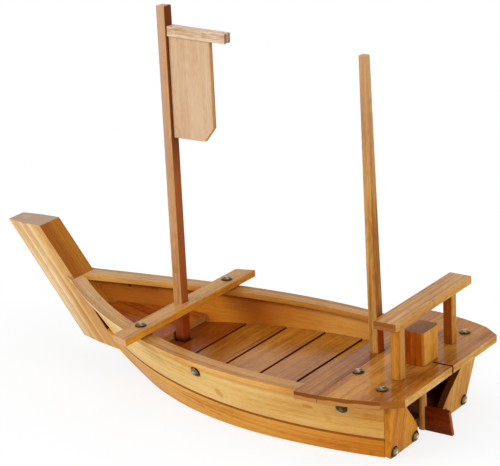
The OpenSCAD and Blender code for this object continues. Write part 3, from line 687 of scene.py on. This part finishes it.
def addFloor():
    for i, number in enumerate(slats["numbers"]):
        fore = slats["first"] + slats["gap"] + i * (slats["wide"] + slats["gap"])
        aft = slats["last"] if number == slats["numbers"][-1] else fore + slats["wide"]
        shape = crossBoard(fore, aft, slats["top"] - slats["thick"], slats["top"])
        finish = bamboo("floorLacquer" + number, shift=0.31 * i, **floorShades, **floorLook)
        addPiece("floorSlat" + number, shape, finish, "hull", "floor_slat_" + number, slats["ease"])
    refinish("floor_slat_1", bamboo("floorLacquer1", shift=0.87, **firstShades, **floorLook))
    rise = math.tan(math.radians(bow["slope"]))
    share = rise * math.tan(stemRake)
    fore = (foreX(bow["low"]) + bow["end"] - share * bow["aft"]) / (1 - share)
    shape = crossBoard(fore, bow["aft"], bow["low"], bow["low"] + bow["thick"], rise)
    finish = bamboo("bowFloorLacquer", [(0.8, "body", (170, 94, 22), ("faces", along))], way="x",
                    strip=0.012, streaks=0.6, clouds=1.2, coat=0.4, pale=(176, 96, 24),
                    body=(156, 74, 13), dark=(124, 50, 6))
    addPiece("bowFloor", shape, finish, "hull", "fore_platform", bow["ease"])


addFloor()
print("floor built")

# thwart, with an open notch for the mast in its fore edge
thwart = {"fore": -51.55, "aft": -32.05, "low": 70.6, "high": 77.6, "over": 24.5, "notch": 5.5,
          "notchAft": -40.85, "ease": 0.7}


def addThwart():
    ends = np.array([thwart["fore"], thwart["aft"]])
    foreY, aftY = railBreadth(sheerU(ends))[1] + thwart["over"]
    fore, aft, notchX, n = thwart["fore"], thwart["aft"], thwart["notchAft"], thwart["notch"]
    outline = [(fore, -foreY), (aft, -aftY), (aft, aftY), (fore, foreY),
               (fore, n), (notchX, n), (notchX, -n), (fore, -n)]
    finish = bamboo("thwartLacquer", [(0.9, "body", (218, 142, 42), ("faces", along))], way="y",
                    strips=0.35, knuckles=0.3, pale=(204, 156, 92), body=(188, 134, 68),
                    dark=(158, 98, 38), end=(222, 182, 138))
    shape = prism(outline, thwart["low"], thwart["high"])
    addPiece("thwartBoard", shape, finish, "hull", "thwart", thwart["ease"])


addThwart()

# stern deck of two boards, the aft one with a saw cut in the middle of its edge
deck = {"front": 153.5, "joint": 176.5, "aft": 248.0, "low": 60.1, "high": 67.6, "half": 112.0,
        "cornerX": 231.5, "cornerY": 96.5, "aftY": 84.0, "kerfX": 226.95, "kerf": 1.0, "notch": 5.4,
        "notchX": 165.4, "ease": 0.6, "steps": 24, "frontEdge": (124, 58, 20), "aftEdge": (127, 68, 21)}
deckLook = dict(way="y", strip=0.0115, strips=0.3, streaks=0.5, knuckles=0.2, seams=0.08, clouds=1.7,
                coat=0.38, coatRough=0.16)


# half breadth of the deck: a circle arc from the front edge to the corner
def deckY(x):
    length, rise = deck["cornerX"] - deck["front"], deck["half"] - deck["cornerY"]
    radius = (length ** 2 + rise ** 2) / (2 * rise)
    return deck["half"] - radius + np.sqrt(radius ** 2 - (np.asarray(x) - deck["front"]) ** 2)


# sawn side edges show a dark upper layer and a pale lower one, and the saw cut's walls are painted near
# black as shade
def deckCoats(shade):
    sawn = ("ends", across, 0.82, 0.92)
    return [(0.9, None, shade, sawn, ("uneven", upward, 0.0644, 0.0652)),
            (0.85, None, (184, 128, 66), sawn, ("uneven", upward, 0.0652, 0.0644)),
            (0.7, None, (146, 84, 22), ("ends", across, 0.4, 0.55), ("faces", along, 0.4, 0.55)),
            # painted shade on the walls of the saw cut
            (0.95, None, (30, 12, 4), ("ends", across), ("at", across, -0.0023, -0.0017),
             ("at", across, 0.0023, 0.0017))]


def addDeck():
    d = deck
    front, aft, notchX, n = d["front"], d["joint"] - form["glue"], d["notchX"], d["notch"]
    half = np.array([(front, deckY(front)), (aft, deckY(aft)), (aft, n), (notchX, n)])
    outline = np.concatenate([half * [1, -1], half[::-1]])
    coats = [(0.8, "body", (184, 112, 28), ("ends", along))] + deckCoats(d["frontEdge"])
    finish = bamboo("deckFrontLacquer", coats, shift=0.4, pale=(178, 120, 56), body=(152, 94, 36),
                    dark=(114, 54, 12), **deckLook)
    shape = prism(outline, d["low"], d["high"])
    addPiece("deckFrontBoard", shape, finish, "hull", "deck_front_board", d["ease"])
    x = np.linspace(d["joint"], d["cornerX"], d["steps"])
    stern = [[d["aft"], d["aftY"]], [d["aft"], d["kerf"]], [d["kerfX"], d["kerf"]]]
    half = np.concatenate([np.column_stack([x, deckY(x)]), stern])
    outline = np.concatenate([half, (half * [1, -1])[::-1]])
    # the aft board's aft face is paler, a painted highlight
    coats = [(0.9, "body", (208, 158, 82), ("faces", along))] + deckCoats(d["aftEdge"])
    finish = bamboo("deckAftLacquer", coats, pale=(196, 137, 60), body=(171, 107, 33), dark=(130, 64, 9),
                    end=(180, 118, 48), **deckLook)
    shape = prism(outline, d["low"], d["high"])
    addPiece("deckAftBoard", shape, finish, "hull", "deck_aft_board", d["ease"])


addDeck()
print("thwart and deck built")

# transom halves, raked, each with a curved inner edge beside the rudder
transom = {"foot": 223.0, "lowY": 21.5, "highY": 56.0, "gapZ": 6.0, "outLow": 67.5, "outHigh": 81.0,
           "ease": 0.6, "steps": 28,
           "port": dict(pale=(214, 148, 48), body=(198, 124, 26), dark=(168, 92, 12)),
           "starboard": dict(pale=(222, 165, 82), body=(206, 145, 60), dark=(177, 110, 34))}


def addTransom():
    t = transom
    top = form["railTop"] / math.cos(transomRake) - form["transom"] * math.tan(transomRake)
    # inner edge: the half breadth goes from low to high by the smooth share, upright at both ends
    share = np.linspace(1, 0, t["steps"])
    curve = np.column_stack([t["lowY"] + (t["highY"] - t["lowY"]) * smooth(share),
                             t["gapZ"] + (top - t["gapZ"]) * share])
    outline = np.concatenate([[[t["lowY"], 0], [t["outLow"], 0], [t["outHigh"], top]], curve])
    board = prism(outline, -form["transom"], 0, "yz")
    for side, word in sides:
        # the inner curved edge, facing the gap by the rudder, is painted dark as shade
        coats = [(0.95, None, (84, 30, 8), ("faces", (0, -side, 0), 0.25, 0.5))]
        finish = bamboo(word + "TransomLacquer", coats, way="transom", shift=0.3 * side, strip=0.0078,
                        layer=0.02, strips=0.4, streaks=0.7, knuckles=0.2, seams=0.2,
                        end=(190, 130, 66), **t[word])
        shape = moved(board, form["transomRake"], (t["foot"], 0, 0), side)
        addPiece(word + "Transom", shape, finish, "hull", word + "_transom", t["ease"])


addTransom()

# gallows: two posts and a beam
gallows = {"x": 219.8, "post": 4.5, "postY": 47.0, "low": 67.7, "beamLow": 119.2, "beamHigh": 127.0,
           "beam": 11.15, "beamY": 68.3, "ease": 0.8, "port": (190, 121, 37), "starboard": (136, 62, 4)}
beamCoats = [
    (0.8, "body", (196, 138, 62), ("faces", along)),
    (0.6, None, (112, 58, 18), ("ends", across), ("at", upward, 0.1222, 0.1228)),
    (0.6, None, (140, 78, 24), ("ends", across)),
]


def addGallows():
    g = gallows
    for side, word in sides:
        # each post's port face takes its own tone; on the starboard post it is painted shade
        coats = [(0.9, "body", g[word], ("faces", toPort))]
        finish = bamboo(word + "PostLacquer", coats, way="z", shift=0.2 * side, strip=0.0045,
                        layer=0.0045, strips=0.4, knuckles=0.3, pale=(212, 158, 76),
                        body=(196, 136, 54), dark=(164, 98, 28))
        outline = square(g["x"], side * g["postY"], g["post"], g["post"])
        shape = prism(outline, g["low"], g["beamLow"] - form["glue"])
        addPiece(word + "GallowsPost", shape, finish, "hull", word + "_gallows_post", g["ease"])
    finish = bamboo("beamLacquer", beamCoats, way="y", shift=0.6, strip=0.0075, strips=0.35, knuckles=0.3,
                    pale=(202, 154, 94), body=(183, 131, 69), dark=(148, 90, 34))
    shape = prism(square(g["x"], 0, g["beam"], g["beamY"]), g["beamLow"], g["beamHigh"])
    addPiece("gallowsBeam", shape, finish, "hull", "gallows_beam", g["ease"])


addGallows()
print("transom and gallows built")

# spars: square mast with yard and flag board, and a tapered rear mast that leans to the bow
mast = {"x": -46.35, "half": 5.2, "low": 13.2, "top": 366.0, "ease": 1.0}
yard = {"x": -40.902, "z": 343.0, "half": 4.7, "length": 64.0, "droop": 1.8, "cut": 1.0, "cutDepth": 5.0,
        "ease": 0.5}
flag = {"x": -41.05, "wide": 45.5, "high": 96.5, "thick": 2.5, "cutX": 10.5, "cutZ": 13.5, "ease": 0.5}
rear = {"x": 170.8, "half": 5.1, "topHalf": 3.7, "length": 272.0, "lean": 1.1, "tenon": -19.5, "ease": 0.9}
# both masts have a paler head, a redder aft strip, partly painted shade, and a dark red foot that is painted
# shade
sparHead, sparRedAndShade, sparFootShade = (200, 160, 122), (154, 72, 12), (146, 52, 4)
mastStrip = ("at", along, -0.0425, -0.0417)
mastCoats = [
    (0.5, None, sparHead, ("at", upward, 0.196, 0.366)),
    (0.85, None, sparRedAndShade, mastStrip),
    (0.8, None, sparFootShade, ("at", upward, 0.074, 0.062)),
    # painted shade, near black, where the foot stands in the floor's hole
    (0.9, None, (34, 12, 4), ("at", upward, 0.031, 0.039), ("at", upward, 0.046, 0.038)),
    # greyer along the fore edge, and painted shade in the strip beside the flag
    (0.6, None, (192, 154, 132), ("at", along, -0.0446, -0.0478), ("at", upward, 0.1, 0.26)),
    (0.8, None, (92, 34, 4), mastStrip, ("at", upward, 0.19, 0.25)),
]
rearStrip = ("at", along, 0.1744, 0.1752)
rearCoats = [
    (0.5, None, sparHead, ("at", upward, 0.165, 0.335)),
    (0.4, None, sparRedAndShade, rearStrip),
    (0.8, None, sparFootShade, ("at", upward, 0.108, 0.096), rearStrip),
]
# the flag's edges are browner, and darkest along the far corner
flagEdge = ("faces", along, 0.4, 0.6)
flagCoats = [
    (1.0, (206, 174, 136), (198, 146, 88), flagEdge),
    (0.75, None, (112, 68, 34), flagEdge, ("at", across, 0.0006, 0.0018)),
]


def addMast():
    finish = bamboo("mastLacquer", mastCoats, way="z", strip=0.0055, layer=0.0055, strips=0.35,
                    knuckles=0.35, pale=(209, 160, 111), body=(190, 138, 87), dark=(157, 96, 49),
                    end=(120, 66, 34))
    shape = prism(square(mast["x"], 0, mast["half"], mast["half"]), mast["low"], mast["top"])
    addPiece("mastPole", shape, finish, "mast", "mast", mast["ease"])
    # the yard's outer end has an upright saw cut
    h, end, cut = yard["half"], yard["length"], yard["cut"]
    deep = end - yard["cutDepth"]
    outline = [(0, -h), (end, -h), (end, -cut), (deep, -cut), (deep, cut), (end, cut), (end, h), (0, h)]
    shape = moved(prism(outline, -h, h), yard["droop"], (yard["x"], 0, yard["z"]))
    finish = bamboo("yardLacquer", way="x", shift=0.3, strip=0.005, layer=0.005, strips=0.5, streaks=0.9,
                    pale=(235, 211, 185), body=(217, 189, 159), dark=(174, 128, 86), end=(96, 52, 28))
    addPiece("yardArm", shape, finish, "mast", "yard", yard["ease"])
    # the flag hangs under the yard's slope, with one lower corner cut off
    droop = math.radians(yard["droop"])
    top = yard["z"] - h / math.cos(droop) - form["glue"]
    low, x, far = top - flag["high"], flag["x"], flag["x"] + flag["wide"]
    outline = [(x, top), (x, low), (far - flag["cutX"], low), (far, low + flag["cutZ"]),
               (far, top - flag["wide"] * math.tan(droop))]
    finish = bamboo("flagLacquer", flagCoats, way="z", strip=0.03, layer=0.0078, strips=0.1,
                    streaks=0.25, clouds=0.7, dashes=0.75, knuckles=0.1, seams=0.06,
                    pale=(222, 192, 160), body=(207, 173, 138), dark=(184, 142, 102))
    shape = prism(outline, -flag["thick"], flag["thick"], "xz")
    addPiece("flagBoard", shape, finish, "mast", "flag_board", flag["ease"])


# tapered bar: a square section at the tenon's foot, at the deck and at the top
def addRearMast():
    levels = ((rear["tenon"], rear["half"]), (0, rear["half"]), (rear["length"], rear["topHalf"]))
    shape = moved(tapered(square(0, 0, 1, 1), levels), -rear["lean"], (rear["x"], 0, deck["high"]))
    finish = bamboo("rearMastLacquer", rearCoats, way="z", shift=0.5, strip=0.0055, layer=0.0055, strips=0.5,
                    streaks=1.0, pale=(207, 159, 90), body=(188, 133, 64), dark=(151, 91, 35))
    addPiece("rearMastPole", shape, finish, "rear_mast", "rear_mast", rear["ease"])


addMast()
addRearMast()
print("spars built")

# rudder: block on the deck, round stock through it and a thin blade
rudder = {"x": 216.8, "head": (10.15, 14.3), "headCut": 2.5, "headLow": 67.9, "headHigh": 99.2,
          "headEase": 0.6, "stock": 3.7, "stockHigh": 83.7, "stockEase": 0.5, "around": 40, "foot": 0.8,
          "blade": 2.0, "bladeSink": 0.4, "bladeTop": 23.5, "bladeEase": 0.4, "topLength": 27.6,
          "footLength": 31.0}
# the head's port face is painted shade under the beam, and its aft face painted light from the stern side
headCoats = [(1.0, "body", (158, 75, 8), ("faces", toPort)), (0.9, "body", (204, 138, 50), ("faces", along))]


def addRudder():
    r = rudder
    (a, b), c, x, foot = r["head"], r["headCut"], r["x"], r["foot"]
    aft = np.array([(a - c, -b), (a, c - b), (a, b - c), (a - c, b)])
    finish = bamboo("rudderHeadLacquer", headCoats, way="z", shift=0.9, strip=0.009, layer=0.009,
                    strips=0.15, streaks=0.5, clouds=1.5, knuckles=0.2, coat=0.2, pale=(206, 142, 58),
                    body=(184, 114, 36), dark=(146, 76, 16), end=(98, 56, 28))
    shape = prism(np.concatenate([aft, -aft]) + [x, 0], r["headLow"], r["headHigh"])
    addPiece("rudderHead", shape, finish, "rudder", "rudder_head", r["headEase"])
    # round bar: circles of the stock's radius, smaller by the easing at both ends
    e, high, radius = r["stockEase"], r["stockHigh"], r["stock"]
    levels = ((foot, radius - e), (foot + e, radius), (high - e, radius), (high, radius - e))
    shape = moved(tapered(circle(r["around"]), levels), 0, (x, 0, 0))
    finish = bamboo("rudderStockLacquer", way="z", strip=0.003, pale=(222, 166, 96), body=(202, 142, 70),
                    dark=(170, 104, 40))
    addPiece("rudderStock", shape, finish, "rudder", "rudder_stock")
    start, top = x + r["stock"] - r["bladeSink"], r["bladeTop"]
    outline = [(start, foot), (x + r["footLength"], foot), (x + r["topLength"], top), (start, top)]
    finish = bamboo("bladeLacquer", way="x", strip=0.006, layer=0.006, strips=0.3, coat=0.25,
                    pale=(146, 62, 9), body=(119, 42, 4), dark=(88, 26, 2))
    shape = prism(outline, -r["blade"], r["blade"], "xz")
    addPiece("rudderBlade", shape, finish, "rudder", "rudder_blade", r["bladeEase"])


addRudder()
print("rudder built")

# brass tacks: a low dome with a rolled rim, turned round its axis and set at each place
tack = {"radius": 5.5, "height": 3.2, "rim": 0.35, "lip": 0.25, "start": 0.02, "rings": 14, "around": 40,
        "edge": ((0.0, 0.3), (0.1, 0.06), (0.5, 0.0)), "thwart": -41.8, "deckX": 181.8, "deckY": 50.7,
        "aftX": 220.0, "transomY": (27.0, 63.5), "transomZ": 6.0, "sideX": (33.2, 185.5),
        "sideDrop": 6.5, "tilt": (0.3, 0.9, 0.2), "reachZ": 7.0, "reachU": 0.03}
# dullness by place: painted shade on the tack under the deck's edge and a painted darker reflection on the
# top tacks; colours; and the bounds and shares of rim, crown, tarnish and the painted shade on the underside
brass = {"top": 0.5, "transom": 0.0, "side": (0.3, 0.85), "crown": (236, 216, 178), "metal": (146, 122, 86),
         "shade": (34, 26, 15), "rimEdge": (0.74, 0.92), "rimShare": 0.94, "crownEdge": (0.6, 0.15),
         "tarnish": ((420.0, 420.0, 420.0), 3.0), "tarnishEdge": (0.5, 0.8), "tarnishShare": 0.3,
         "under": (0.02, 0.4), "underShadeShare": 0.8, "hammer": ((900.0, 900.0, 900.0), 1.0), "bump": 0.15,
         "relief": 0.0003, "rough": (0.13, 0.2)}


# the map's X is 0 at the crown and 1 at the rim, and its Y is the tack's dullness, painted shade by place
def tackFinish():
    b = brass
    material = startTree(bpy.data.materials.new("agedBrass"))
    coords = add("TexCoord").outputs
    out, dullAndShade, _ = parts(add("UVMap", uv_map="grain").outputs[0])
    tarnish = ease(noise(coords["Object"], *b["tarnish"]), *b["tarnishEdge"])
    under = vectorCalc("DOT_PRODUCT", coords["Normal"], (0, 0, -1))
    rim = times(ease(out, *b["rimEdge"]), b["rimShare"])
    # painted shade on the underside of each dome
    rim = calc("MAXIMUM", rim, times(ease(under, *b["under"]), b["underShadeShare"]))
    dark = calc("MAXIMUM", rim, weigh(dullAndShade, (tarnish, b["tarnishShare"])), clamp=True)
    # rubbed bright on the crown and dark in the rim: worn brass, with a painted highlight on the crown and a
    # painted dark reflection in the rim
    rubbedAndGlint = mixColor(ease(out, *b["crownEdge"]), tone(*b["metal"]), tone(*b["crown"]))
    color = mixColor(dark, rubbedAndGlint, tone(*b["shade"]))
    rough = weigh(b["rough"][0], (dark, b["rough"][1]))
    joinShader(noise(coords["Object"], *b["hammer"]), b["bump"], b["relief"],
               {"Base Color": color, "Roughness": rough, "Metallic": 1.0})
    return material


# place, direction and dullness of each tack, the dullness painted shade by place
def tackPlaces():
    t = tack
    found = []
    for side, _ in sides:
        for x, z in ((t["thwart"], thwart["high"]), (t["aftX"], deck["high"])):
            found.append(((x, side * sum(railBreadth(sheerU(x))) / 2, z), upward, brass["top"]))
        found.append(((t["deckX"], side * t["deckY"], deck["high"]), upward, brass["top"]))
        for y in t["transomY"]:
            place = turnY((0, side * y, t["transomZ"]), form["transomRake"], (transom["foot"], 0, 0))
            found.append((place, (math.cos(transomRake), 0, -math.sin(transomRake)), brass["transom"]))
        # side tacks stand square to the board: across its rise and its run
        for x, dullAndShade in zip(t["sideX"], brass["side"]):
            z = railLow(sheerU(x)) - t["sideDrop"]
            u = sideU(np.array(x), z)
            rise = sidePoint(u, z + t["reachZ"], 0) - sidePoint(u, z - t["reachZ"], 0)
            run = sidePoint(u + t["reachU"], z, 0) - sidePoint(u - t["reachU"], z, 0)
            found.append((mirrored(sidePoint(u, z, 0), side), mirrored(np.cross(rise, run), side), dullAndShade))
    return found


def addTacks():
    t = tack
    # profile: part of a circle from the crown to the rim, then the rim's edge
    ball = (t["radius"] ** 2 + t["height"] ** 2) / (2 * t["height"])
    reach = np.linspace(t["start"], 1, t["rings"]) * (t["radius"] - t["lip"])
    dome = np.column_stack([reach, t["height"] - ball + np.sqrt(ball ** 2 - reach ** 2)])
    dome[:, 1] = np.maximum(dome[:, 1], t["rim"])
    profile = np.concatenate([dome, [(t["radius"] - inset, z) for inset, z in t["edge"]]])
    rings = tapered(circle(t["around"]), profile[:, ::-1])[0].reshape(len(profile), -1, 3)
    share = np.concatenate([np.linspace(0, 1, len(dome)), np.ones(len(t["edge"]))])
    head, faces, uv = loft(rings, share / mm, np.zeros((len(profile), t["around"] + 1)))
    quads, caps = np.array(faces[:-2]), np.array(faces[-2:])
    points, allFaces, allUv = [], [], []
    for n, (place, normal, dullAndShade) in enumerate(tackPlaces()):
        axis = np.asarray(normal, float) / np.linalg.norm(normal)
        first = np.cross(axis, t["tilt"])
        first /= np.linalg.norm(first)
        basis = np.stack([first, np.cross(axis, first), axis])
        points.append(head @ basis + np.asarray(place) + axis * form["glue"])
        allFaces += (quads + n * len(head)).tolist() + (caps + n * len(head)).tolist()
        allUv.append(uv + [0, dullAndShade])
    shape = np.concatenate(points), allFaces, np.concatenate(allUv)
    addPiece("tackHeads", shape, tackFinish(), "hull", "brass_tacks")


addTacks()
print("tacks set")

# framing that is hardly seen keeps its CAD shape; the boards behind the well lie in deep shade
frameShades = dict(pale=(150, 92, 38), body=(126, 70, 24), dark=(96, 46, 12))
deepShades = dict(pale=(58, 28, 10), body=(42, 18, 6), dark=(26, 10, 3))
framing = {"bottom_board": "x", "port_floor_bearer": "x", "starboard_floor_bearer": "x", "fore_bearer": "y",
           "mast_step": "x", "aft_bulkhead": "y", "deck_beam": "y"}
for node, way in framing.items():
    shades = deepShades if node in ("aft_bulkhead", "deck_beam") else frameShades
    refinish(node, bamboo(node.replace("_", "") + "Lacquer", way=way, strip=0.012, **shades))
print("framing finished")

# studio: pale floor, white surround and soft lamps, in metres
studio = {"white": (1, 1, 1, 1), "floor": (0.92, 0.92, 0.92, 1), "around": 0.4, "shadow": 0.17,
          "near": (0.3, 0.16, 1.0), "fade": (0.75, 1.4), "reach": (0.02, 0.4, 1.0, 3.0, 9.0),
          "points": 64, "aim": (0, 0, 0.08),
          "lamps": {"windowLamp": {"place": (-1.5, -2.0, 1.6), "size": 1.4, "power": 41.0},
                    "sternLamp": {"place": (2.0, -0.9, 1.0), "size": 0.9, "power": 19.0},
                    "topLamp": {"place": (0.1, 0.3, 2.4), "size": 1.6, "power": 14.0}}}


def seenRays():
    path = add("LightPath").outputs
    seen = calc("MAXIMUM", path["Is Camera Ray"], path["Is Glossy Ray"])
    return calc("MAXIMUM", seen, path["Is Transmission Ray"])


def addRoom():
    scene.world = startTree(bpy.data.worlds.new("whiteRoom"))
    glow = add("Background", studio["white"], studio["around"])
    seen = add("Background", studio["white"], 1.0)
    mix = add("MixShader", seenRays(), glow.outputs[0], seen.outputs[0])
    add("OutputWorld", mix.outputs[0])


# floor: rings round the boat, white to the eye away from the shadow
def addTable():
    points, faces, _ = tapered(circle(studio["points"]), [(0, reach) for reach in studio["reach"]])
    mesh = bpy.data.meshes.new("tableTop")
    mesh.from_pydata(points.tolist(), [], faces[:-1])
    top = bpy.data.objects.new("tableTop", mesh)
    scene.collection.objects.link(top)
    material = startTree(bpy.data.materials.new("paleTable"))
    matte = add("BsdfDiffuse", studio["floor"])
    white = add("Emission")
    place = add("TexCoord").outputs["Object"]
    away = vectorCalc("LENGTH", vectorCalc("DIVIDE", place, studio["near"]))
    clear = weigh(1 - studio["shadow"], (ease(away, *studio["fade"]), studio["shadow"]))
    mix = add("MixShader", times(clear, seenRays()), matte.outputs[0], white.outputs[0])
    add("OutputMaterial", mix.outputs[0])
    mesh.materials.append(material)


def addLamps():
    for name, lamp in studio["lamps"].items():
        data = bpy.data.lights.new(name, "AREA")
        data.energy, data.size = lamp["power"], lamp["size"]
        light = bpy.data.objects.new(name, data)
        scene.collection.objects.link(light)
        way = Vector(studio["aim"]) - Vector(lamp["place"])
        turn = way.to_track_quat("-Z", "Y").to_matrix().to_4x4()
        light.matrix_world = Matrix.Translation(lamp["place"]) @ turn


addRoom()
addTable()
addLamps()
print("studio lit")
